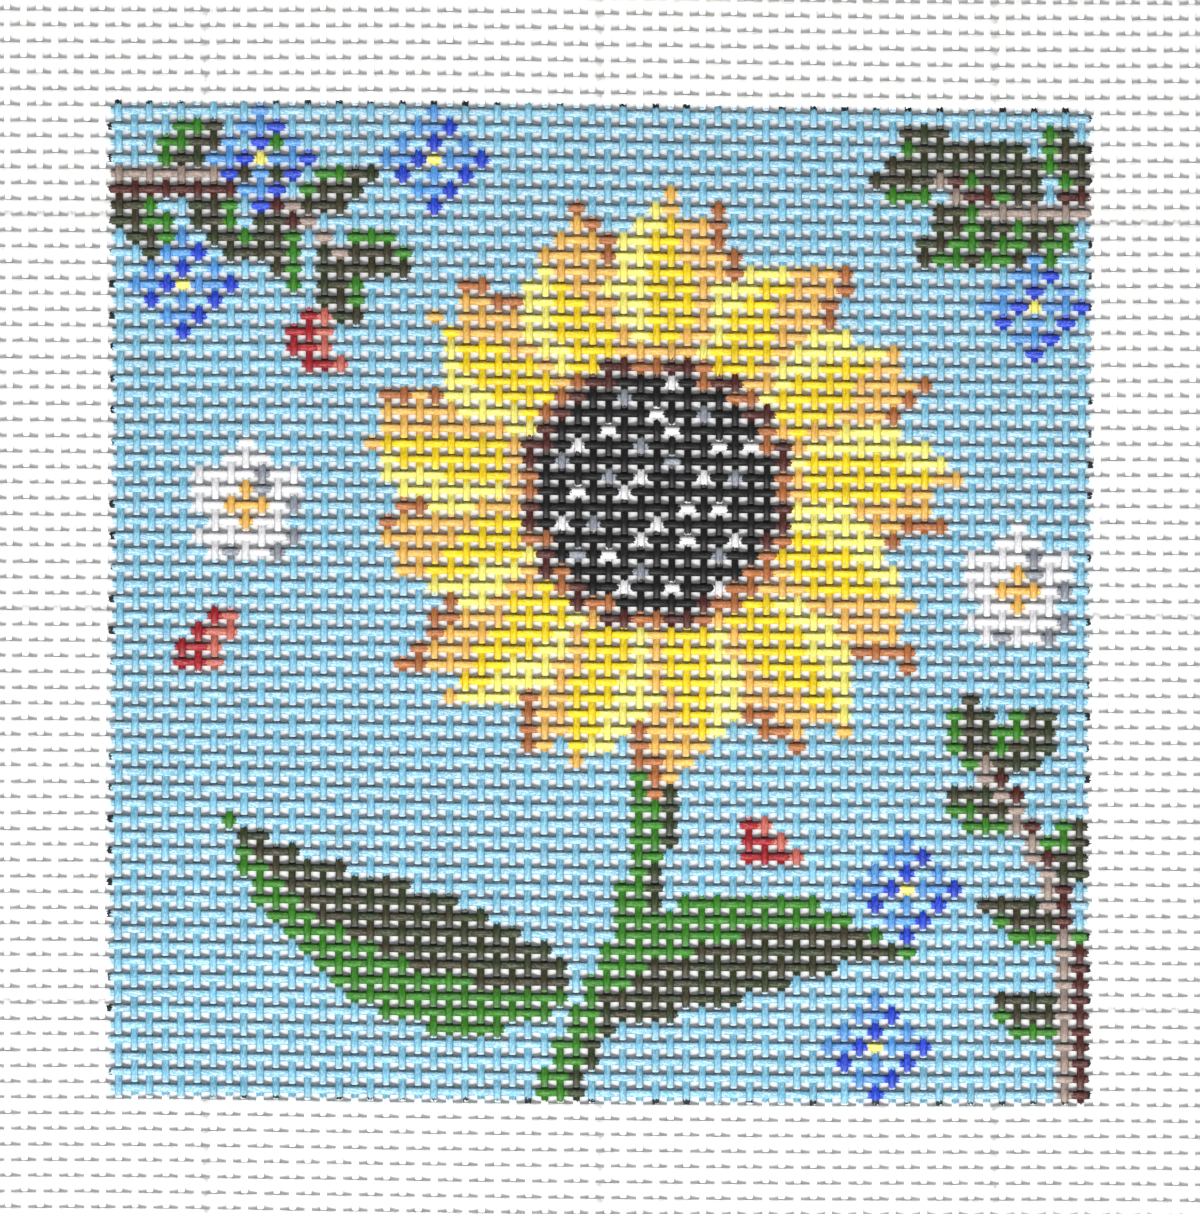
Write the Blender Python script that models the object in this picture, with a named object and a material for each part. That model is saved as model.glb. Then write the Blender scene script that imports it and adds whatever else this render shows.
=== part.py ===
"""A cut length of needlepoint canvas, lying flat.

The canvas is a plain weave of single threads, 13 to the inch. It was cut along its threads, so its outline follows
them: the warp runs along Y, the weft along X, and the weft leans a little because the weave has been pulled out of
square. Both run in shallow bows. The middle of the panel is painted.

Units are metres, +Z up. The back lies on the plane z = 0, and the origin is the middle of the panel there.
"""

import math

import bpy

THREADS_PER_INCH = 13
INCH = 0.0254
PITCH = INCH / THREADS_PER_INCH

PAINTED_WARP_THREADS = 62
PAINTED_WEFT_THREADS = 63
MARGIN_THREADS = 19  # bare canvas on each side of the painting

THREAD_THICKNESS = 0.0006
CANVAS_THICKNESS = 2 * THREAD_THICKNESS  # one thread over another, where they cross

WEFT_LEAN = -0.0081  # rise of a weft thread for each metre along X
BOW_HEIGHT = 0.00022  # how far an edge thread strays from its straight line
BOWS_PER_SIDE = 1.5
POINTS_PER_SIDE = 36

CANVAS_COLOUR = (0.86, 0.86, 0.84, 1.0)
CANVAS_ROUGHNESS = 0.8


def clear_scene():
    for old_object in list(bpy.data.objects):
        bpy.data.objects.remove(old_object, do_unlink=True)


def canvas_material():
    material = bpy.data.materials.new("canvas")
    material.use_nodes = True
    shader = material.node_tree.nodes["Principled BSDF"]
    shader.inputs["Base Color"].default_value = CANVAS_COLOUR
    shader.inputs["Roughness"].default_value = CANVAS_ROUGHNESS
    shader.inputs["Metallic"].default_value = 0.0
    return material


def bow(share_of_side, start):
    """How far an edge thread strays sideways, at a share of its length from 0 to 1."""
    return BOW_HEIGHT * math.sin(2 * math.pi * (BOWS_PER_SIDE * share_of_side + start))


def on_canvas(across, up):
    """The place of a point of the weave, from its thread counts to the right of and above the middle."""
    x = across * PITCH
    return x, up * PITCH + WEFT_LEAN * x


def outline():
    """The cut edge, anticlockwise from the lower left corner. Each side ends where the next begins."""
    half_across = PAINTED_WARP_THREADS / 2 + MARGIN_THREADS
    half_up = PAINTED_WEFT_THREADS / 2 + MARGIN_THREADS
    corners = [
        (-half_across, -half_up),
        (half_across, -half_up),
        (half_across, half_up),
        (-half_across, half_up),
    ]
    points = []
    for side, corner in enumerate(corners):
        following = corners[(side + 1) % len(corners)]
        along_weft = side % 2 == 0
        for step in range(POINTS_PER_SIDE):
            share = step / POINTS_PER_SIDE
            x, y = on_canvas(
                corner[0] + (following[0] - corner[0]) * share,
                corner[1] + (following[1] - corner[1]) * share,
            )
            fade = math.sin(math.pi * share)  # the corners stay in place
            stray = fade * bow(share, side / 5)
            points.append((x, y + stray) if along_weft else (x + stray, y))
    return points


def make_canvas(collection):
    """The flat sheet: the outline as a filled curve, extruded by half the thickness each way."""
    curve = bpy.data.curves.new("canvas", "CURVE")
    curve.dimensions = "2D"
    curve.fill_mode = "BOTH"
    curve.extrude = CANVAS_THICKNESS / 2
    points = outline()
    spline = curve.splines.new("POLY")
    spline.points.add(len(points) - 1)
    for point, (x, y) in zip(spline.points, points):
        point.co = (x, y, 0.0, 1.0)
    spline.use_cyclic_u = True
    curve.materials.append(canvas_material())
    canvas = bpy.data.objects.new("canvas", curve)
    canvas.location = (0.0, 0.0, CANVAS_THICKNESS / 2)
    collection.objects.link(canvas)
    return canvas


def main():
    clear_scene()
    collection = bpy.data.collections.new("needlepoint_canvas_panel")
    bpy.context.scene.collection.children.link(collection)
    make_canvas(collection)


main()
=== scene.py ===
"""The looks of a painted needlepoint canvas: each thread, woven over and under, and the paint on it.

Units are metres, +Z up. The canvas lies on its back at z = 0, with its middle at the origin. +X runs along
the weft, and +Y along the warp, which is up in the picture.
"""

import math

import bpy
import numpy as np
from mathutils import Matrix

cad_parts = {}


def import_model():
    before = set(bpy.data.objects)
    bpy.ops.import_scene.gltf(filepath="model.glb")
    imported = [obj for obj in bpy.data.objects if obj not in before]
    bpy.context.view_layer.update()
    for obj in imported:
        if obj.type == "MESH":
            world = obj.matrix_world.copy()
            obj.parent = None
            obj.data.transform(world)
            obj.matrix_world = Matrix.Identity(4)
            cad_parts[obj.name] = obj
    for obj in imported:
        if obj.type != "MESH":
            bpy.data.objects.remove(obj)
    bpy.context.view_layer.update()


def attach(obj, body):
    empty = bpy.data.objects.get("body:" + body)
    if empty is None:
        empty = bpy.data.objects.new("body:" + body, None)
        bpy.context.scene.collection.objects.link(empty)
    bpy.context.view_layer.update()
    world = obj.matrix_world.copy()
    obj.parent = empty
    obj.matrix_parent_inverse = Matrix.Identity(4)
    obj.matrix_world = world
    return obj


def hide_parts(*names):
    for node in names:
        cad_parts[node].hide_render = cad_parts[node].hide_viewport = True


# The weave, with the sizes of the solid that it stands for
THREADS_PER_INCH = 13
PITCH = 0.0254 / THREADS_PER_INCH
PAINTED_WARPS = 62
PAINTED_WEFTS = 63
MARGIN = 19  # bare threads on each side of the painting
WARPS = PAINTED_WARPS + 2 * MARGIN
WEFTS = PAINTED_WEFTS + 2 * MARGIN
WEFT_LEAN = -0.0081  # rise of a weft for each metre along X
BOW_HEIGHT = 0.00022  # how far an edge thread strays from its straight line
BOWS_PER_SIDE = 1.5

THREAD_THICKNESS = 0.00050  # pressed flat, so less than half the solid's thickness
WARP_WIDTHS = np.array([0.00084, 0.00092])  # bare, and swollen with paint
WEFT_WIDTHS = np.array([0.00100, 0.00103])
WARP_CRIMP = 0.00027  # how far a thread rises over the canvas's middle plane
WEFT_CRIMP = 0.00027
CANVAS_THICKNESS = THREAD_THICKNESS + 2 * WEFT_CRIMP

WANDER = 0.00009  # slow drift of the threads from straight lines
THREAD_JITTER = 0.000035
CROSSING_JITTER = 0.000018
SLUB = 0.05  # share by which a thread's width varies
FRAY = 0.25  # most that a cut end sticks out further than the next, in pitches

# A thread's section, pressed flat. For each corner: its turn from the top, then 1 at the left edge or -1 at
# the right edge of a flat face, the same at a side's middle, and its share of the half thickness upwards
SECTION = np.array(
    [
        (-0.40, -1, 0, -1.0),
        (-0.25, 0, -1, 0.0),
        (-0.10, -1, 0, 1.0),
        (0.10, 1, 0, 1.0),
        (0.25, 0, 1, 0.0),
        (0.40, 1, 0, -1.0),
    ]
)
SIDES = len(SECTION)
TURNS = np.append(SECTION[:, 0], SECTION[0, 0] + 1)
WARP_FLAT = 0.62  # share of a thread's width that is flat
WEFT_FLAT = 0.42

# A thread's rise and fall. For each ring: its place from a crossing in pitches, and its share of the crimp.
# The warps run nearly straight from crossing to crossing, and the wefts go round over them.
WARP_RINGS = np.array([(-0.5, 0.0), (-0.17, 0.60), (0.08, 1.0), (0.30, 0.48)])
WEFT_RINGS = np.array([(-0.5, 0.0), (-0.25, 0.80), (0.0, 1.0), (0.25, 0.80)])
PATCHES = 4  # the canvas is made as this many by this many woven patches

# The map for baked colours has a strip for each thread
STRIP_GAP = 0.08  # clear share of a strip's height at each side
STRIP_END = 0.006  # clear share of the map's width at each end of a strip
CUT_END_PLACE = 0.006
CUT_END_SIZE = 0.0035

# The photograph's frame, which is 1200 pixels wide
FRAME_WIDTH = 76.05 * PITCH
VIEW_CENTRE_Y = -0.00055
LENS = 300.0
SENSOR = 36.0

# A long soft lamp below the picture's lower edge, and the light of a pale room
LAMP_ELEVATION = math.radians(49)
LAMP_TURN = math.radians(6)
LAMP_DISTANCE = 0.9
LAMP_LENGTH = 1.1
LAMP_WIDTH = 0.24
LAMP_WATTS = 14.0
LAMP_COLOUR = (1.0, 0.995, 0.98)
ROOM_COLOUR = (0.98, 0.985, 1.0, 1)
ROOM_STRENGTH = 0.52

FLOOR_HALF_SIDE = 3.0
FLOOR_UNDER_PAINT = (0.75, 0.75, 0.755, 1)
# Lighter under the bare margin: painted light, for the light that bare threads let through onto the floor
FLOOR_UNDER_MARGIN_PAINTED_LIGHT = (0.92, 0.92, 0.925, 1)
FLOOR_OUTSIDE = (0.40, 0.40, 0.405, 1)
FLOOR_BLUR = 0.0015  # half the width over which a tone of the floor passes into the next

SEED = 11


def linear(red, green, blue):
    """A display colour, each part from 0 to 255, as linear light."""
    shares = [part / 255 for part in (red, green, blue)]
    return tuple(s / 12.92 if s <= 0.04045 else ((s + 0.055) / 1.055) ** 2.4 for s in shares)


# Paints: display colour, and how well the paint hides the thread
PAINTS = {
    "bare": (linear(238, 238, 235), 0.0),
    "sky": (linear(104, 182, 213), 0.93),
    "bright_yellow": (linear(236, 204, 0), 0.99),
    "pale_yellow": (linear(240, 230, 108), 0.98),
    "amber": (linear(226, 174, 74), 0.98),
    "orange_brown": (linear(166, 96, 40), 0.985),
    "black": (linear(14, 13, 16), 0.997),
    "white": (linear(224, 224, 229), 0.9),
    "grey": (linear(125, 131, 142), 0.97),
    "salmon": (linear(190, 96, 82), 0.985),
    "dark_red": (linear(154, 2, 24), 0.99),
    "bright_green": (linear(42, 120, 4), 0.99),
    "dark_green": (linear(40, 52, 16), 0.99),
    "olive": (linear(51, 48, 22), 0.99),
    "royal_blue": (linear(0, 57, 196), 0.985),
    "mid_blue": (linear(64, 142, 212), 0.97),
    "taupe": (linear(149, 130, 120), 0.98),
    "dark_brown": (linear(74, 20, 10), 0.99),
}
NAMES = list(PAINTS)
WEFT_BARENESS = 2.7  # how much more thread shows through on the wefts, which the brush ran along
PAINT_LIGHT = 0.88  # the paints' light beside their display colours, for a bright exposure
WARP_PAINTED_SHADE = 0.9  # painted shade on the warps and painted light on the wefts, as the low lamp lights the wefts' near flanks more
WEFT_PAINTED_LIGHT = 1.08
COTTON_DULL = (0.66, 0.66, 0.648, 1)
COTTON_BRIGHT = (0.73, 0.73, 0.72, 1)
PAINTED_SHADE_TINT = (0.07, 0.11, 0.15, 1)  # how much of their colour the painted shade in a crease between threads leaves
INK = (0.01, 0.01, 0.012, 1)

# The painted design. Places and lengths are in threads, from the painted square's lower left crossing.
FLOWER_CENTRE = (34, 38)
PETALS = 13
PETAL_START = 6.5
BACK_PETALS = {"half_width": 3.1, "twist": 0.04, "body": "amber", "lit": "amber", "shade": "orange_brown"}
FRONT_PETALS = {
    "half_width": 3.3,
    "twist": -0.04,
    "body": "bright_yellow",
    "lit": "pale_yellow",
    "shade": "amber",
}
DISC_RADIUS = 8.7
SEEDS = 33
GOLDEN_TURN = math.radians(137.5)
STEM = ((27, -1), (34, 26), -2.5)  # start, end and bend
LEAVES = (((29, 7), (7, 17), 3.0, 4.2), ((30, 5), (50, 9), 2.5, 3.4))  # base, tip, bend and half width
SPRAYS = (((-1, 57), (14, 53), 2.5), ((60, -1), (55, 21), -2.5), ((62, 57), (52, 58), 1.5))  # as the stem
BUDS = (((13, 46), 1.9), ((42, 15), 2.2), ((5, 27), 1.2))  # place and heading
BLUE_FLOWERS = ((4, 51), (9, 59), (20, 59), (50, 13), (48, 3), (58, 50))
BLUE_PETALS = {"petals": 4, "turn": 0.0, "reach": 1.9, "petal_radius": 1.3}
BLUE_PAINTS = {"paint": "mid_blue", "shade": "royal_blue", "heart": "pale_yellow"}
WHITE_FLOWERS = ((8, 37), (57, 32))
WHITE_PETALS = {"petals": 5, "turn": 0.3, "reach": 2.3, "petal_radius": 1.75}
WHITE_PAINTS = {"paint": "white", "shade": "grey", "heart": "amber"}


# ---------------------------------------------------------------- the painted chart


def cells():
    """The column and the row of each crossing of the painted square."""
    up, across = np.mgrid[0:PAINTED_WEFTS, 0:PAINTED_WARPS].astype(float)
    return across, up


def bent_line(start, end, bend, steps=90):
    """Points from start to end on a curve that bows sideways by bend threads."""
    start, end = np.array(start, float), np.array(end, float)
    share = np.linspace(0, 1, steps)[:, None]
    run = end - start
    side = np.array((-run[1], run[0])) / np.linalg.norm(run)
    return start + run * share + side * bend * 4 * share * (1 - share)


def beside(line):
    """For each crossing: its share of the way along a line, and how far left of it and past its end it is."""
    across, up = cells()
    gap = np.stack([across[..., None] - line[:, 0], up[..., None] - line[:, 1]], -1)
    nearest = np.hypot(gap[..., 0], gap[..., 1]).argmin(-1)
    run = np.gradient(line, axis=0)
    run /= np.linalg.norm(run, axis=1)[:, None]
    off = np.take_along_axis(gap, nearest[..., None, None], 2)[..., 0, :]
    ahead = (off * run[nearest]).sum(-1)
    left = off[..., 1] * run[nearest][..., 0] - off[..., 0] * run[nearest][..., 1]
    return nearest / (len(line) - 1), left, np.abs(ahead)


def put(chart, where, paint):
    chart[where] = NAMES.index(paint)


def leaf(chart, base, tip, bend, half_width):
    """A pointed leaf, light on one side of its dark midrib and veined on the other."""
    share, left, past = beside(bent_line(base, tip, bend))
    edge = half_width * np.sin(math.pi * share**0.75) ** 0.9
    inside = (np.abs(left) < edge) & (past < 0.8)
    put(chart, inside & (left >= 0), "bright_green")
    put(chart, inside & (left < 0), "dark_green")
    veins = inside & (np.mod(share * 9 + np.abs(left) * 0.33, 1.0) < 0.27) & (left < 0)
    put(chart, veins, "olive")
    put(chart, inside & (np.abs(left) < 0.5) & (share < 0.92), "olive")


def petal(chart, centre, angle, outer, half_width, twist, body, lit, shade):
    """A petal out to the outer radius, lit along its left edge and shaded along its right one."""
    base = (centre[0] + PETAL_START * math.cos(angle), centre[1] + PETAL_START * math.sin(angle))
    end = (centre[0] + outer * math.cos(angle + twist), centre[1] + outer * math.sin(angle + twist))
    share, left, past = beside(bent_line(base, end, 0.6))
    edge = half_width * np.sin(math.pi * (0.12 + 0.86 * share)) ** 0.75
    inside = (np.abs(left) < edge) & (past < 0.8)
    put(chart, inside, body)
    put(chart, inside & (left > edge * 0.25), lit)
    put(chart, inside & (left < -edge + 1.1), shade)
    put(chart, inside & (share < 0.22), "amber")


def sunflower(chart, centre):
    for k in range(PETALS):
        angle = 2 * math.pi * (k + 0.5) / PETALS + 0.1
        outer = 18.4 + 1.2 * math.sin(3.1 * k)
        petal(chart, centre, angle, outer, **BACK_PETALS)
    for k in range(PETALS):
        angle = 2 * math.pi * k / PETALS + 0.1
        outer = 17.4 + 1.4 * math.sin(2.3 * k + 1)
        petal(chart, centre, angle, outer, **FRONT_PETALS)
    seed_disc(chart, centre)


def seed_disc(chart, centre):
    """The dark disc, with a mottled rim and specks on the spiral that seeds grow in."""
    across, up = cells()
    radius = np.hypot(across - centre[0], up - centre[1])
    put(chart, radius < DISC_RADIUS, "dark_brown")
    put(chart, radius < DISC_RADIUS - 1.1, "black")
    rim = (radius < DISC_RADIUS + 0.2) & (radius > DISC_RADIUS - 1.3)
    put(chart, rim & (np.mod(across * 3 + up * 5, 4) < 1.5), "orange_brown")
    for n in range(1, SEEDS + 1):
        reach, turn = 1.18 * math.sqrt(n), n * GOLDEN_TURN
        x, y = centre[0] + reach * math.cos(turn), centre[1] + reach * math.sin(turn)
        chart[round(y), round(x)] = NAMES.index("white" if n % 3 else "grey")


def stroke(chart, start, angle, length, paint):
    """A line one thread wide."""
    end = (start[0] + length * math.cos(angle), start[1] + length * math.sin(angle))
    _, left, past = beside(bent_line(start, end, 0.4))
    put(chart, (np.abs(left) < 0.52) & (past < 0.5), paint)


def spray(chart, start, end, bend, rng):
    """A thin stem with oval leaves up both sides and one at its tip."""
    line = bent_line(start, end, bend)
    heading = math.atan2(end[1] - start[1], end[0] - start[0])
    for k, base in enumerate(line[8::13]):
        side = 1 if k % 2 else -1
        angle = heading + side * math.radians(rng.uniform(42, 62))
        length = rng.uniform(5.0, 6.2)
        tip = (base[0] + length * math.cos(angle), base[1] + length * math.sin(angle))
        leaf(chart, base, tip, 0.5 * side, 1.7)
    leaf(chart, end, (end[0] + 5 * math.cos(heading), end[1] + 5 * math.sin(heading)), 0.4, 1.7)
    share, left, past = beside(line)
    stem = (np.abs(left) < 1.0 - 0.4 * share) & (past < 0.8)
    put(chart, stem, "taupe")
    put(chart, stem & (left < -0.1), "dark_brown")


def bud(chart, centre, angle):
    """Three strokes side by side, the right one lit."""
    stroke(chart, centre, angle, 3.0, "dark_red")
    stroke(chart, (centre[0] + 1, centre[1]), angle, 3.0, "salmon")
    stroke(chart, (centre[0] - 1, centre[1]), angle, 2.0, "dark_red")


def blossom(chart, centre, petals, turn, reach, petal_radius, paint, shade, heart):
    """A small flower of round petals."""
    across, up = cells()
    for k in range(petals):
        angle = 2 * math.pi * k / petals + turn
        x, y = across - centre[0] - reach * math.cos(angle), up - centre[1] - reach * math.sin(angle)
        inside = np.hypot(x, y) < petal_radius
        put(chart, inside, paint)
        put(chart, inside & (x - y > 0.63 * petal_radius), shade)
    put(chart, np.hypot(across - centre[0], up - centre[1]) < 0.48 * reach, heart)


def make_chart():
    """The number of the paint on each crossing of the painted square, row 0 lowest."""
    rng = np.random.default_rng(SEED)
    chart = np.full((PAINTED_WEFTS, PAINTED_WARPS), NAMES.index("sky"))
    _, left, past = beside(bent_line(*STEM))
    stem = (np.abs(left) < 1.3) & (past < 0.8)
    put(chart, stem, "bright_green")
    put(chart, stem & (left < -0.4), "dark_green")
    for base, tip, bend, half_width in LEAVES:
        leaf(chart, base, tip, bend, half_width)
    for start, end, bend in SPRAYS:
        spray(chart, start, end, bend, rng)
    sunflower(chart, FLOWER_CENTRE)
    for centre in BLUE_FLOWERS:
        blossom(chart, centre, **BLUE_PETALS, **BLUE_PAINTS)
    for centre, angle in BUDS:
        bud(chart, centre, angle)
    for centre in WHITE_FLOWERS:
        blossom(chart, centre, **WHITE_PETALS, **WHITE_PAINTS)
    return chart


# ---------------------------------------------------------------- the weave


def smooth_noise(rng, shape, spacing):
    """Soft random hills of about unit height, with one control value each spacing crossings."""
    rows, columns = (int(n / spacing) + 3 for n in shape)
    values = rng.uniform(-1, 1, (rows, columns))
    for axis, count in enumerate(shape):
        at = np.arange(count) / spacing
        low = np.floor(at).astype(int)
        ease = at - low
        ease = ease * ease * (3 - 2 * ease)
        ease = ease[:, None] if axis == 0 else ease[None, :]
        values = np.take(values, low, axis) * (1 - ease) + np.take(values, low + 1, axis) * ease
    return values


def bow(share, side):
    """How far an edge thread strays sideways. The sides are numbered anticlockwise from the lowest."""
    return BOW_HEIGHT * np.sin(math.pi * share) * np.sin(2 * math.pi * (BOWS_PER_SIDE * share + side / 5))


def place_crossings(rng):
    """The x and y of each crossing, by weft row and warp column."""
    up, across = np.mgrid[0:WEFTS, 0:WARPS].astype(float)
    x = (across - (WARPS - 1) / 2) * PITCH
    y = (up - (WEFTS - 1) / 2) * PITCH
    right, high = across / (WARPS - 1), up / (WEFTS - 1)
    y = y + WEFT_LEAN * x + bow(right, 0) * (1 - high) + bow(1 - right, 2) * high
    x = x + bow(high, 1) * right + bow(1 - high, 3) * (1 - right)
    for values, own_threads in ((x, (1, WARPS)), (y, (WEFTS, 1))):
        values += WANDER * smooth_noise(rng, values.shape, 17)
        values += THREAD_JITTER * rng.normal(0, 1, own_threads)
        values += CROSSING_JITTER * smooth_noise(rng, values.shape, 1.6)
    return x, y


def with_ends(values):
    """Adds a value before the first crossing and after the last, in line with their neighbours."""
    before = 2 * values[:, :1] - values[:, 1:2]
    after = 2 * values[:, -1:] - values[:, -2:-1]
    return np.concatenate([before, values, after], 1)


def along_threads(values, places):
    """Reads values, by thread and crossing, at places along each thread."""
    padded = with_ends(values)
    low = np.floor(places).astype(int)
    share = places - low
    rows = np.arange(len(values))[:, None]
    return padded[rows, low + 1] * (1 - share) + padded[rows, low + 2] * share


class Threads:
    """All the threads that run one way, each with its crossings in order."""

    def __init__(self, x, y, over, widths, flat, crimp, rings, paint, rng):
        self.x, self.y, self.over, self.paint = x, y, over, paint
        self.crimp, self.rings = crimp, rings
        self.to_left = SECTION[:, 1] * flat + SECTION[:, 2]  # for each corner, as a share of the half width
        count, length = x.shape
        slubs = smooth_noise(rng, (count * 3, length), 5.3)[::3]
        uneven = 1 + SLUB * slubs + SLUB / 2 * rng.normal(0, 1, (count, 1))
        self.half_width = widths[(paint[..., 3] > 0).astype(int)] / 2 * uneven
        self.ends = rng.uniform(0, FRAY, (count, 2))
        self.start = rng.uniform(0, 1, count)  # where its yarn's pattern starts
        self.tone = rng.uniform(0, 1, count)
        self.ink = ink_of(over, rng)
        # 1 on a stretch that climbs away from the light, 0 on one that sinks, -1 on one that lies across it
        self.rises = np.full((count, length + 1), -1.0)

    def mark_rises(self):
        self.rises[:, :-1] = self.over > 0
        self.rises[:, -1] = 0


def ink_of(over, rng):
    """For each stretch from a crossing to the next: how much of the pen line round the painting it took.

    The pen touched a thread only where it lies on top.
    """
    count, length = over.shape
    ink = np.zeros((count, length + 1))
    within = slice(MARGIN, count - MARGIN)
    amount = rng.uniform(0.2, 1.0, (count, 2))
    for side, stretch, crossing in ((0, MARGIN, MARGIN), (1, length - MARGIN, length - MARGIN - 1)):
        ink[within, stretch] = (amount[:, side] * (over[:, crossing] > 0))[within]
    return ink


def ring_table(rings, first, last):
    """The rings from half a pitch before the first crossing to half a pitch after the last.

    For each: its crossing, its place from there and its share of the crimp.
    """
    crossing = np.append(np.repeat(np.arange(first, last), len(rings)), last - 1)
    offset, height = np.vstack([np.tile(rings, (last - first, 1)), (0.5, 0.0)]).T
    return crossing, offset, height


def ring_points(threads, chosen, first, last):
    """The places of the rings along the threads, and the points of each ring, by thread, ring and side."""
    crossing, offset, height = ring_table(threads.rings, first, last)
    places = np.tile(crossing + offset, (len(chosen), 1))
    length = threads.x.shape[1]
    if first == 0:
        places[:, 0] -= threads.ends[chosen, 0]
    if last == length:
        places[:, -1] += threads.ends[chosen, 1]
    x = along_threads(threads.x[chosen], places)
    y = along_threads(threads.y[chosen], places)
    z = CANVAS_THICKNESS / 2 + threads.crimp * threads.over[chosen][:, crossing] * height
    run = np.stack([np.gradient(part, axis=1) for part in (x, y, z)], -1)
    run /= np.linalg.norm(run, axis=-1, keepdims=True)
    left = np.stack([-run[..., 1], run[..., 0], np.zeros_like(z)], -1)
    left /= np.linalg.norm(left, axis=-1, keepdims=True)
    upward = np.cross(run, left)
    half_width = along_threads(threads.half_width[chosen], np.clip(places, 0, length - 1))
    wide = threads.to_left[:, None] * half_width[..., None, None] * left[..., None, :]
    high = SECTION[:, 3, None] * THREAD_THICKNESS / 2 * upward[..., None, :]
    return places, np.stack([x, y, z], -1)[..., None, :] + wide + high


def by_thread(values, dimensions):
    """Gives values by thread more axes of one, to spread over the faces' corners."""
    return values.reshape(-1, *[1] * (dimensions - 1))


class Patch:
    """Collects the threads of one woven patch and makes them one mesh."""

    def __init__(self, rows):
        self.rows = rows
        self.points, self.faces, self.corners = [], [], []
        self.count = 0

    def add(self, threads, chosen, first, last, half):
        """Adds a run of threads. Their strips of the bake's map lie in its left half, 0, or its right, 1."""
        places, points = ring_points(threads, chosen, first, last)
        index = self.count + np.arange(points[..., 0].size).reshape(points.shape[:3])
        self.points.append(points.reshape(-1, 3))
        self.count += index.size
        self.add_sides(threads, chosen, places, index, half)
        self.add_cut_ends(threads, chosen, places, index, half)

    def add_sides(self, threads, chosen, places, index, half):
        beside_it = np.roll(index, -1, 2)
        faces = np.stack([index[:, :-1], index[:, 1:], beside_it[:, 1:], beside_it[:, :-1]], -1)
        place = np.stack([places[:, :-1], places[:, 1:], places[:, 1:], places[:, :-1]], -1)[:, :, None, :]
        turn = np.stack([TURNS[:-1], TURNS[:-1], TURNS[1:], TURNS[1:]], -1)[None, None]
        stretch = np.floor((places[:, :-1] + places[:, 1:]) / 2).astype(int)[:, :, None, None]
        first, last = by_thread(places[:, 0], 4), by_thread(places[:, -1], 4)
        along, around = (place - first) / (last - first), turn - TURNS[0]
        self.faces.append(faces.reshape(-1, 4))
        self.add_corners(threads, chosen, place, turn, stretch, half, along, around)

    def add_cut_ends(self, threads, chosen, places, index, half):
        faces = np.stack([index[:, 0], index[:, -1, ::-1]], 1)
        place = places[:, [0, -1]][..., None]
        turn = np.stack([TURNS[:-1], TURNS[-2::-1]])[None]
        stretch = np.floor(place).astype(int)
        middle = np.array([-CUT_END_PLACE, 1 + CUT_END_PLACE])[None, :, None]
        along = middle + CUT_END_SIZE * np.cos(2 * math.pi * turn)
        around = 0.5 + 0.35 * np.sin(2 * math.pi * turn)
        self.faces.append(faces.reshape(-1, SIDES))
        self.add_corners(threads, chosen, place, turn, stretch, half, along, around)

    def add_corners(self, threads, chosen, place, turn, stretch, half, along, around):
        """What some faces' corners carry. Each array's first axis is the thread, and its last the corner."""
        shape = np.broadcast_shapes(place.shape, turn.shape)
        row = by_thread(np.array(chosen), len(shape))
        strip = by_thread(np.arange(len(chosen)), len(shape))
        last = threads.paint.shape[1] - 1
        values = {
            "thread": (place * PITCH + threads.start[row], turn),
            "OFBake": (
                half / 2 + STRIP_END + (0.5 - 2 * STRIP_END) * along,
                (strip + STRIP_GAP + (1 - 2 * STRIP_GAP) * around) / self.rows,
            ),
            "crossing": (
                place - stretch,
                threads.ink[row, stretch + 1],
                threads.tone[row],
                threads.rises[row, stretch + 1],
            ),
            "paint_here": np.moveaxis(threads.paint[row, np.clip(stretch, 0, last)], -1, 0),
            "paint_next": np.moveaxis(threads.paint[row, np.clip(stretch + 1, 0, last)], -1, 0),
        }
        spread = {
            name: np.stack([np.broadcast_to(part, shape).ravel() for part in parts], -1)
            for name, parts in values.items()
        }
        self.corners.append(spread)

    def sharpen_rims(self, mesh):
        """Marks the rims of the cut ends, so that a thread's sides are shaded alike up to its end."""
        at_rim = np.zeros(self.count, bool)
        for faces in self.faces:
            if faces.shape[1] == SIDES:
                at_rim[faces] = True
        edges = np.zeros(2 * len(mesh.edges), np.int32)
        mesh.edges.foreach_get("vertices", edges)
        sharp = mesh.attributes.new("sharp_edge", "BOOLEAN", "EDGE")
        sharp.data.foreach_set("value", at_rim[edges.reshape(-1, 2)].all(1))

    def mesh(self, name):
        mesh = bpy.data.meshes.new(name)
        points = np.vstack(self.points)
        sizes = np.concatenate([np.full(len(faces), faces.shape[1]) for faces in self.faces])
        corners = np.concatenate([faces.ravel() for faces in self.faces])
        mesh.vertices.add(len(points))
        mesh.vertices.foreach_set("co", points.ravel())
        mesh.loops.add(len(corners))
        mesh.loops.foreach_set("vertex_index", corners.astype(np.int32))
        mesh.polygons.add(len(sizes))
        starts = np.concatenate([[0], np.cumsum(sizes)[:-1]])
        mesh.polygons.foreach_set("loop_start", starts.astype(np.int32))
        mesh.update(calc_edges=True)
        mesh.polygons.foreach_set("use_smooth", sizes == 4)
        self.sharpen_rims(mesh)
        data = {key: np.vstack([part[key] for part in self.corners]) for key in self.corners[0]}
        for key in ("OFBake", "thread"):
            layer = mesh.uv_layers.new(name=key)
            layer.uv.foreach_set("vector", data[key].astype(np.float32).ravel())
        for key in ("crossing", "paint_here", "paint_next"):
            layer = mesh.attributes.new(key, "FLOAT_COLOR", "CORNER")
            layer.data.foreach_set("color", data[key].astype(np.float32).ravel())
        mesh.validate(clean_customdata=False)
        return mesh


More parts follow.
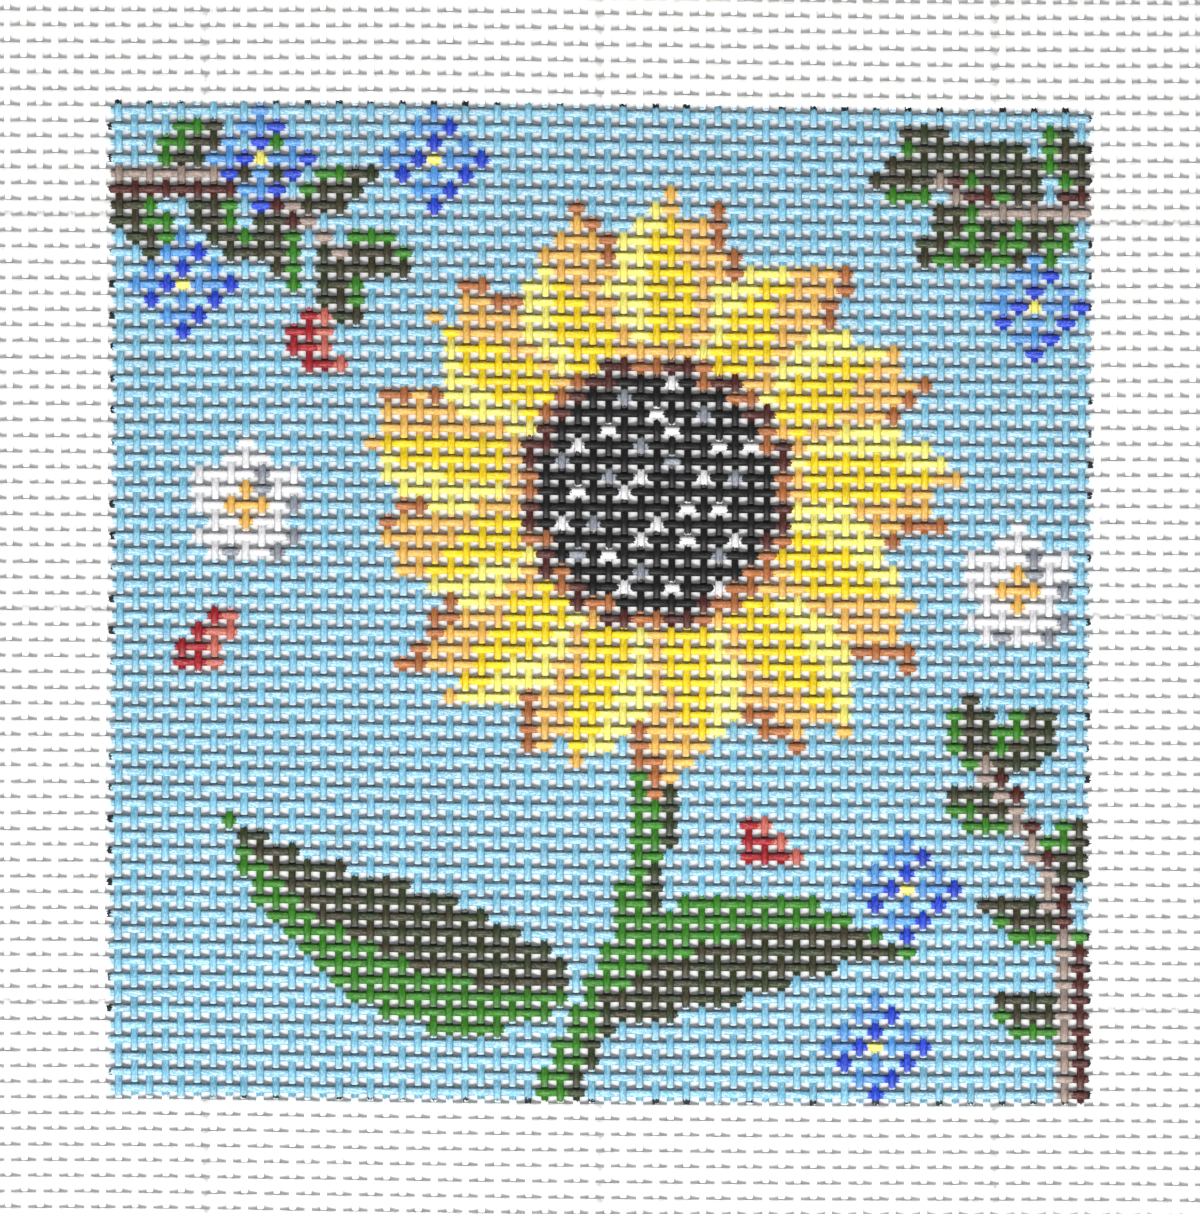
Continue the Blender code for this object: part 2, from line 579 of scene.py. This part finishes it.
def painted_crossings(rng):
    """The paint of each crossing of the whole canvas, as its colour and how well it hides the thread."""
    numbers = np.full((WEFTS, WARPS), NAMES.index("bare"))
    inner = slice(MARGIN, MARGIN + PAINTED_WEFTS), slice(MARGIN, MARGIN + PAINTED_WARPS)
    numbers[inner] = make_chart()
    table = np.array([(*colour, cover) for colour, cover in PAINTS.values()])
    paint = table[numbers]
    load = 1 + 0.05 * rng.normal(0, 1, numbers.shape) + 0.04 * smooth_noise(rng, numbers.shape, 9)
    paint[..., :3] *= load[..., None] * PAINT_LIGHT
    return paint


def thinner_on_wefts(paint):
    """The crossings' paint as the wefts carry it, hiding less of the thread."""
    thinner = paint.copy()
    cover = paint[..., 3]
    thinner[..., 3] = np.where(cover > 0, 1 - WEFT_BARENESS * (1 - cover), 0)
    return thinner


def weave(material):
    """The whole canvas, as square patches that meet halfway between two crossings."""
    rng = np.random.default_rng(SEED)
    x, y = place_crossings(rng)
    paint = painted_crossings(rng)
    up, across = np.mgrid[0:WEFTS, 0:WARPS]
    warp_over = np.where((up + across) % 2 == 0, 1.0, -1.0)
    warp_paint = paint.transpose(1, 0, 2)
    warps = Threads(x.T, y.T, warp_over.T, WARP_WIDTHS, WARP_FLAT, WARP_CRIMP, WARP_RINGS, warp_paint, rng)
    warps.mark_rises()
    weft_paint = thinner_on_wefts(paint)
    wefts = Threads(x, y, -warp_over, WEFT_WIDTHS, WEFT_FLAT, WEFT_CRIMP, WEFT_RINGS, weft_paint, rng)
    pieces = []
    for row in range(PATCHES):
        low, high = row * WEFTS // PATCHES, (row + 1) * WEFTS // PATCHES
        for column in range(PATCHES):
            left, right = column * WARPS // PATCHES, (column + 1) * WARPS // PATCHES
            patch = Patch(max(high - low, right - left))
            patch.add(warps, range(left, right), low, high, 0)
            patch.add(wefts, range(low, high), left, right, 1)
            name = f"weave_row{row + 1}_column{column + 1}"
            piece = bpy.data.objects.new(name, patch.mesh(name))
            piece.data.materials.append(material)
            bpy.context.scene.collection.objects.link(piece)
            pieces.append((piece, (right - left) * PITCH, (high - low) * PITCH))
    return pieces


# ---------------------------------------------------------------- materials


class Nodes:
    """Short ways to add and join a material's nodes."""

    def __init__(self, name):
        self.material = bpy.data.materials.new(name)
        self.material.use_nodes = True
        self.tree = self.material.node_tree
        self.shader = self.tree.nodes["Principled BSDF"]

    def add(self, kind, **settings):
        node = self.tree.nodes.new(kind)
        for key, value in settings.items():
            setattr(node, key, value)
        return node

    def feed(self, socket, value):
        if isinstance(value, bpy.types.NodeSocket):
            self.tree.links.new(value, socket)
        else:
            socket.default_value = value

    def math(self, operation, first, second=0.0, clamp=False):
        node = self.add("ShaderNodeMath", operation=operation, use_clamp=clamp)
        self.feed(node.inputs[0], first)
        self.feed(node.inputs[1], second)
        return node.outputs[0]

    def times(self, first, *others):
        for other in others:
            first = self.math("MULTIPLY", first, other)
        return first

    def less(self, value):
        """One minus the value, and at least 0."""
        return self.math("SUBTRACT", 1.0, value, clamp=True)

    def mix(self, share, first, second, blend="MIX"):
        node = self.add("ShaderNodeMix", data_type="RGBA", blend_type=blend)
        self.feed(node.inputs["Factor"], share)
        self.feed(node.inputs[6], first)
        self.feed(node.inputs[7], second)
        return node.outputs[2]

    def remap(self, value, low, high, to_low=0.0, to_high=1.0, smooth=True):
        node = self.add("ShaderNodeMapRange", interpolation_type="SMOOTHSTEP" if smooth else "LINEAR")
        for socket, part in zip(node.inputs, (value, low, high, to_low, to_high)):
            self.feed(socket, part)
        return node.outputs[0]

    def vector(self, x, y, z):
        node = self.add("ShaderNodeCombineXYZ")
        for socket, part in zip(node.inputs, (x, y, z)):
            self.feed(socket, part)
        return node.outputs[0]

    def noise(self, place, scale, detail=2.0, roughness=0.5):
        node = self.add("ShaderNodeTexNoise")
        self.feed(node.inputs["Vector"], place)
        self.feed(node.inputs["Scale"], scale)
        self.feed(node.inputs["Detail"], detail)
        self.feed(node.inputs["Roughness"], roughness)
        return node.outputs["Fac"]

    def luminance(self, colour):
        node = self.add("ShaderNodeRGBToBW")
        self.feed(node.inputs[0], colour)
        return node.outputs[0]

    def grey(self, value):
        node = self.add("ShaderNodeCombineColor")
        for socket in node.inputs:
            self.feed(socket, value)
        return node.outputs[0]


class ThreadPlaces:
    """Where a point lies on its thread, and the noises that follow the thread there."""

    def __init__(self, n):
        self.n = n
        crossing = n.add("ShaderNodeAttribute", attribute_name="crossing")
        parts = n.add("ShaderNodeSeparateColor")
        n.feed(parts.inputs[0], crossing.outputs["Color"])
        self.share, self.ink, tone = parts.outputs
        self.rises = n.math("MAXIMUM", crossing.outputs["Alpha"], 0.0)
        self.lies_across = n.math("LESS_THAN", crossing.outputs["Alpha"], -0.5)
        thread = n.add("ShaderNodeSeparateXYZ")
        n.feed(thread.inputs[0], n.add("ShaderNodeUVMap", uv_map="thread").outputs[0])
        self.along = n.times(thread.outputs[0], 1000.0)  # millimetres
        self.turn = thread.outputs[1]
        self.own = n.times(tone, 90.0)
        self.crown = n.math("COSINE", n.times(self.turn, 2 * math.pi))
        self.leftness = n.math("SINE", n.times(self.turn, 2 * math.pi))
        self.fibres = n.noise(self.wound(5.0, 3.5), 13.0, 2.0, 0.6)
        self.blotches = n.noise(self.wound(400.0, 1.0), 3.6, 2.0, 0.6)
        self.brush = n.noise(self.wound(14.0, 4.0), 4.5, 2.0, 0.65)

    def wound(self, lay, stretch):
        """A place on a thread of 1 mm, wound round it once each lay millimetres and drawn out along it."""
        n = self.n
        angle = n.times(n.math("ADD", self.turn, n.math("DIVIDE", self.along, lay)), 2 * math.pi)
        return n.vector(
            n.times(n.math("COSINE", angle), 0.45),
            n.times(n.math("SINE", angle), 0.45),
            n.math("ADD", n.math("DIVIDE", self.along, stretch), self.own),
        )


def painted_colour(n, at):
    """The colour of the paint at a point, its cover, and the ragged place between the crossings.

    The border between two crossings' colours is ragged, and the darker paint reaches a little over the other.
    """
    here = n.add("ShaderNodeAttribute", attribute_name="paint_here")
    after = n.add("ShaderNodeAttribute", attribute_name="paint_next")
    dark = n.math("SUBTRACT", n.luminance(after.outputs["Color"]), n.luminance(here.outputs["Color"]))
    reach = n.times(dark, 0.16, n.math("MAXIMUM", at.crown, 0.0))
    ragged = n.times(n.math("SUBTRACT", at.blotches, 0.5), 0.5)
    place = n.math("ADD", n.math("SUBTRACT", at.share, reach), ragged)
    passed = n.remap(place, 0.47, 0.53)
    paint = n.mix(passed, here.outputs["Color"], after.outputs["Color"])
    cover = n.math(
        "ADD",
        n.times(here.outputs["Alpha"], n.less(passed)),
        n.times(after.outputs["Alpha"], passed),
    )
    return paint, cover, n.math("ADD", at.share, ragged)


def coat_of_paint(n, at, cover):
    """How much of the paint shows: full on the top and sides, thin where the brush skipped, a stain below,
    and thinner towards the lower end of a warp float that faces the lamp, which is partly thin paint and
    partly a painted highlight.
    """
    uneven_crown = n.math("ADD", at.crown, n.times(n.math("SUBTRACT", at.blotches, 0.5), 0.9))
    top = n.remap(uneven_crown, -1.0, -0.7)
    stain = n.remap(at.brush, 0.35, 0.65, 0.6, 1.0)
    uncovered = n.less(cover)
    patchy = n.times(n.math("ADD", at.brush, at.blotches), 0.5)
    skipped = n.times(uncovered, n.remap(patchy, 0.46, 0.60, 0.5, 3.7))
    # Painted highlight, partly real thin paint: less paint towards the lamp-facing lower end of a warp float,
    # so the white thread shows there
    tip = n.remap(n.math("ABSOLUTE", n.math("SUBTRACT", at.share, 0.40)), 0.02, 0.09, 0.7, 0.0)
    thinning_and_highlight = n.math("MAXIMUM", tip, n.remap(at.share, 0.37, 1.0, 0.2, 0.0))
    thin_end_and_painted_highlight = n.times(thinning_and_highlight, at.rises, n.math("MINIMUM", n.times(uncovered, 12.0), 1.0))
    is_painted = n.math("GREATER_THAN", cover, 0.02)
    return n.times(n.math("MAXIMUM", top, stain), is_painted, n.less(skipped), n.less(thin_end_and_painted_highlight))


def paint_with_marks_and_painted_light(n, at, paint):
    """The paint with its brush marks and blotches, and painted light: lighter on the wefts and darker on the
    warps, as the low lamp lights them.
    """
    marks = n.math(
        "ADD",
        n.remap(at.brush, 0.35, 0.65, 0.82, 1.14, smooth=False),
        n.remap(at.blotches, 0.38, 0.62, -0.12, 0.12, smooth=False),
    )
    # Painted light and shade: the wefts lighter, the warps darker
    light = n.times(marks, n.remap(at.lies_across, 0.0, 1.0, WARP_PAINTED_SHADE, WEFT_PAINTED_LIGHT))
    return n.mix(1.0, paint, n.grey(light), "MULTIPLY")


def with_painted_crease_shade(n, at, colour, painted):
    """Paints shade into the colour: a painted shadow on a warp where it comes up from below a weft, where the
    weft's shadow falls, and painted shade along a painted weft's far flank, which faces away from the light.
    """
    # How strongly the painted shade shows, uneven along the threads
    uneven_shade = n.remap(at.blotches, 0.36, 0.54, 0.3, 1.0)
    ragged_left = n.math("ADD", at.leftness, n.times(n.math("SUBTRACT", at.brush, 0.5), 1.3))
    # Painted shadow on the rising warps' ends, and painted shade on the wefts' flanks that face away from the
    # lamp
    crease = n.math(
        "ADD",
        n.times(at.rises, n.remap(at.share, 0.32, 0.40, 0.85, 0.0)),
        n.times(at.lies_across, painted, uneven_shade, n.remap(ragged_left, 0.62, 0.84, 0.0, 0.95)),
    )
    return n.mix(crease, colour, n.mix(1.0, colour, PAINTED_SHADE_TINT, "MULTIPLY"))


def with_pen_line(n, at, colour, border_place):
    """Adds the smudged pen line that runs round the painting, on the threads' tops."""
    from_border = n.math("ABSOLUTE", n.math("SUBTRACT", border_place, 0.5))
    smudge = n.times(n.math("SUBTRACT", at.brush, 0.5), 0.3)
    mark = n.math("SUBTRACT", n.math("ADD", n.times(at.ink, 0.24), smudge), from_border)
    on_top = n.remap(at.crown, -0.1, 0.2)
    took_ink = n.math("GREATER_THAN", at.ink, 0.0)
    return n.mix(n.times(n.remap(mark, 0.05, 0.07), on_top, took_ink), colour, INK)


def set_surface(n, at, painted):
    """Matt cotton with its fibres raised, smoother and half glossy where it is painted."""
    rough = n.math("SUBTRACT", n.remap(at.fibres, 0.3, 0.7, 0.78, 0.92), n.times(painted, 0.40))
    n.feed(n.shader.inputs["Roughness"], rough)
    soft = n.less(n.times(painted, 0.6))
    bump = n.add("ShaderNodeBump")
    n.feed(bump.inputs["Strength"], 0.6)
    n.feed(bump.inputs["Distance"], 0.00006)
    n.feed(bump.inputs["Height"], n.math("ADD", n.times(at.fibres, soft), n.times(at.brush, 0.35)))
    n.feed(n.shader.inputs["Normal"], bump.outputs[0])


def thread_material():
    """White cotton thread that lets some light through, with paint from the crossings on its upper side."""
    n = Nodes("painted_canvas_thread")
    n.feed(n.shader.inputs["Sheen Weight"], 0.03)
    n.feed(n.shader.inputs["Sheen Roughness"], 0.5)
    n.feed(n.shader.inputs["Specular IOR Level"], 0.22)
    n.shader.subsurface_method = "BURLEY"
    n.feed(n.shader.inputs["Subsurface Radius"], (1.0, 1.0, 0.95))
    n.feed(n.shader.inputs["Subsurface Scale"], 0.002)
    at = ThreadPlaces(n)
    paint, cover, border_place = painted_colour(n, at)
    painted = coat_of_paint(n, at, cover)
    n.feed(n.shader.inputs["Subsurface Weight"], n.remap(cover, 0.0, 0.3, 1.0, 0.0))
    cotton = n.mix(n.remap(at.fibres, 0.35, 0.65), COTTON_DULL, COTTON_BRIGHT)
    colour = n.mix(painted, cotton, paint_with_marks_and_painted_light(n, at, paint))
    colour = with_painted_crease_shade(n, at, colour, painted)
    colour = with_pen_line(n, at, colour, border_place)
    n.feed(n.shader.inputs["Base Color"], colour)
    set_surface(n, at, painted)
    return n.material


def past_middle_threads(n, place, across, up):
    """0 over the middle threads of the canvas, as many as given each way, and 1 outside them."""
    past = [
        n.math("SUBTRACT", n.math("ABSOLUTE", side), count * PITCH / 2)
        for side, count in zip(place.outputs, (across, up))
    ]
    return n.remap(n.math("MAXIMUM", *past), -FLOOR_BLUR, FLOOR_BLUR)


def floor_material():
    """A pale floor, white under the canvas and lighter still under its bare threads: that is painted light,
    for the light those threads let through.
    """
    n = Nodes("pale_floor")
    place = n.add("ShaderNodeSeparateXYZ")
    n.feed(place.inputs[0], n.add("ShaderNodeNewGeometry").outputs["Position"])
    past_paint = past_middle_threads(n, place, PAINTED_WARPS, PAINTED_WEFTS)
    tone = n.mix(past_paint, FLOOR_UNDER_PAINT, FLOOR_UNDER_MARGIN_PAINTED_LIGHT)
    tone = n.mix(past_middle_threads(n, place, WARPS, WEFTS), tone, FLOOR_OUTSIDE)
    n.feed(n.shader.inputs["Base Color"], tone)
    n.feed(n.shader.inputs["Roughness"], 0.7)
    return n.material


# ---------------------------------------------------------------- floor, light and camera


def make_floor():
    mesh = bpy.data.meshes.new("floor")
    half = FLOOR_HALF_SIDE
    corners = [(-half, -half, 0), (half, -half, 0), (half, half, 0), (-half, half, 0)]
    mesh.from_pydata(corners, [], [(0, 1, 2, 3)])
    mesh.materials.append(floor_material())
    floor = bpy.data.objects.new("floor", mesh)
    bpy.context.scene.collection.objects.link(floor)


def make_lamp():
    lamp = bpy.data.lights.new("lamp", "AREA")
    lamp.shape = "RECTANGLE"
    lamp.size = LAMP_LENGTH
    lamp.size_y = LAMP_WIDTH
    lamp.energy = LAMP_WATTS
    lamp.color = LAMP_COLOUR
    holder = bpy.data.objects.new("lamp", lamp)
    reach = LAMP_DISTANCE * math.cos(LAMP_ELEVATION)
    height = LAMP_DISTANCE * math.sin(LAMP_ELEVATION)
    holder.location = (-reach * math.sin(LAMP_TURN), -reach * math.cos(LAMP_TURN), height)
    holder.rotation_euler = (math.pi / 2 - LAMP_ELEVATION, 0, -LAMP_TURN)
    bpy.context.scene.collection.objects.link(holder)


def make_room_light():
    world = bpy.data.worlds.new("studio")
    world.use_nodes = True
    background = world.node_tree.nodes["Background"]
    background.inputs["Color"].default_value = ROOM_COLOUR
    background.inputs["Strength"].default_value = ROOM_STRENGTH
    bpy.context.scene.world = world


def make_camera():
    camera = bpy.data.cameras.new("camera")
    camera.sensor_fit = "HORIZONTAL"
    camera.sensor_width = SENSOR
    camera.lens = LENS
    camera.clip_end = 20  # metres, well past the floor below it
    eye = bpy.data.objects.new("camera", camera)
    eye.location = (0, VIEW_CENTRE_Y, CANVAS_THICKNESS + FRAME_WIDTH * LENS / SENSOR)
    bpy.context.scene.collection.objects.link(eye)
    bpy.context.scene.camera = eye


def main():
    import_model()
    bpy.context.scene.view_settings.view_transform = "Standard"
    make_camera()
    make_lamp()
    make_room_light()
    make_floor()
    for piece, width, length in weave(thread_material()):
        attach(piece, "root")
        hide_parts("canvas")


main()
